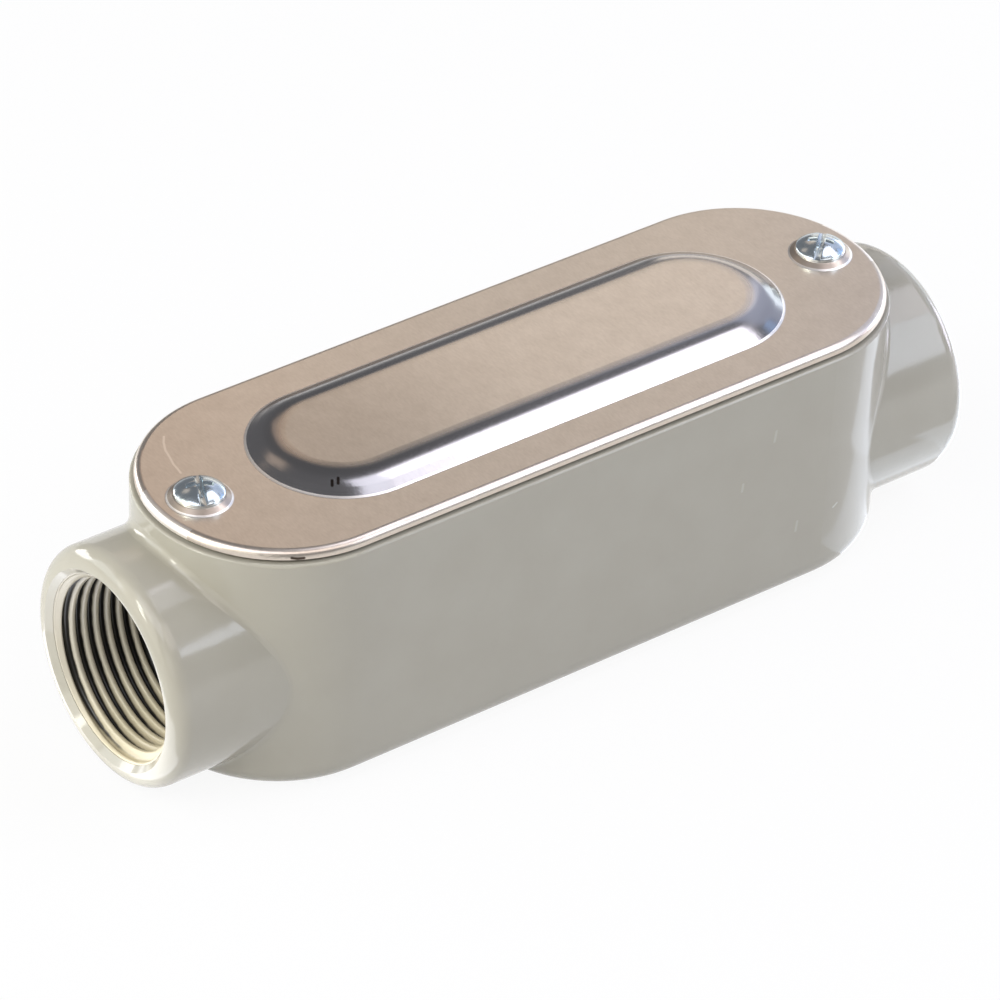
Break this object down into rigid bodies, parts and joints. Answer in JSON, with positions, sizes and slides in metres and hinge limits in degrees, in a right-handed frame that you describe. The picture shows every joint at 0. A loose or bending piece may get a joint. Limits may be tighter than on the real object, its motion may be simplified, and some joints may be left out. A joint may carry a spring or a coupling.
{
  "type": "conduit body",
  "caption": "Oval straight-through conduit body: cast trough with a threaded hub at each end, gasket, and raised sheet cover held by domed-head screws.",
  "frame": {"origin": "middle of the bounding box in plan, on the flat back that the part rests on", "axes": "+X along both hubs towards the right hub, +Z out through the cover, +Y across the body"},
  "size_m": [0.1328, 0.0392, 0.0415],
  "materials": {
    "coated_casting": "warm grey powder coat over cast aluminium, gloss",
    "gasket_rubber": "black, matt",
    "cover_sheet": "satin rolled sheet",
    "zinc_screw": "bright zinc plate"
  },
  "bodies": {
    "casting": {"body_casting": "coated_casting", "gasket": "gasket_rubber"},
    "cover": {"cover": "cover_sheet"},
    "screw_left": {"cover_screw_left": "zinc_screw"},
    "screw_right": {"cover_screw_right": "zinc_screw"}
  },
  "joints": [
    {"name": "cover_lift", "type": "slide", "parent": "casting", "child": "cover", "axis": [0, 0, 1], "range_m": [0, 0.012]},
    {"name": "screw_left_turn", "type": "hinge", "parent": "cover", "child": "screw_left", "pos_m": [-0.05175, 0, 0.0398], "axis": [0, 0, 1], "range_deg": [0, 5443]},
    {"name": "screw_right_turn", "type": "hinge", "parent": "cover", "child": "screw_right", "pos_m": [0.05175, 0, 0.0398], "axis": [0, 0, 1], "range_deg": [0, 5443]}
  ],
  "couplings": [
    {"joint": "screw_left_turn", "follows": "cover_lift", "rad_per_m": 7915.8},
    {"joint": "screw_right_turn", "follows": "cover_lift", "rad_per_m": 7915.8}
  ]
}
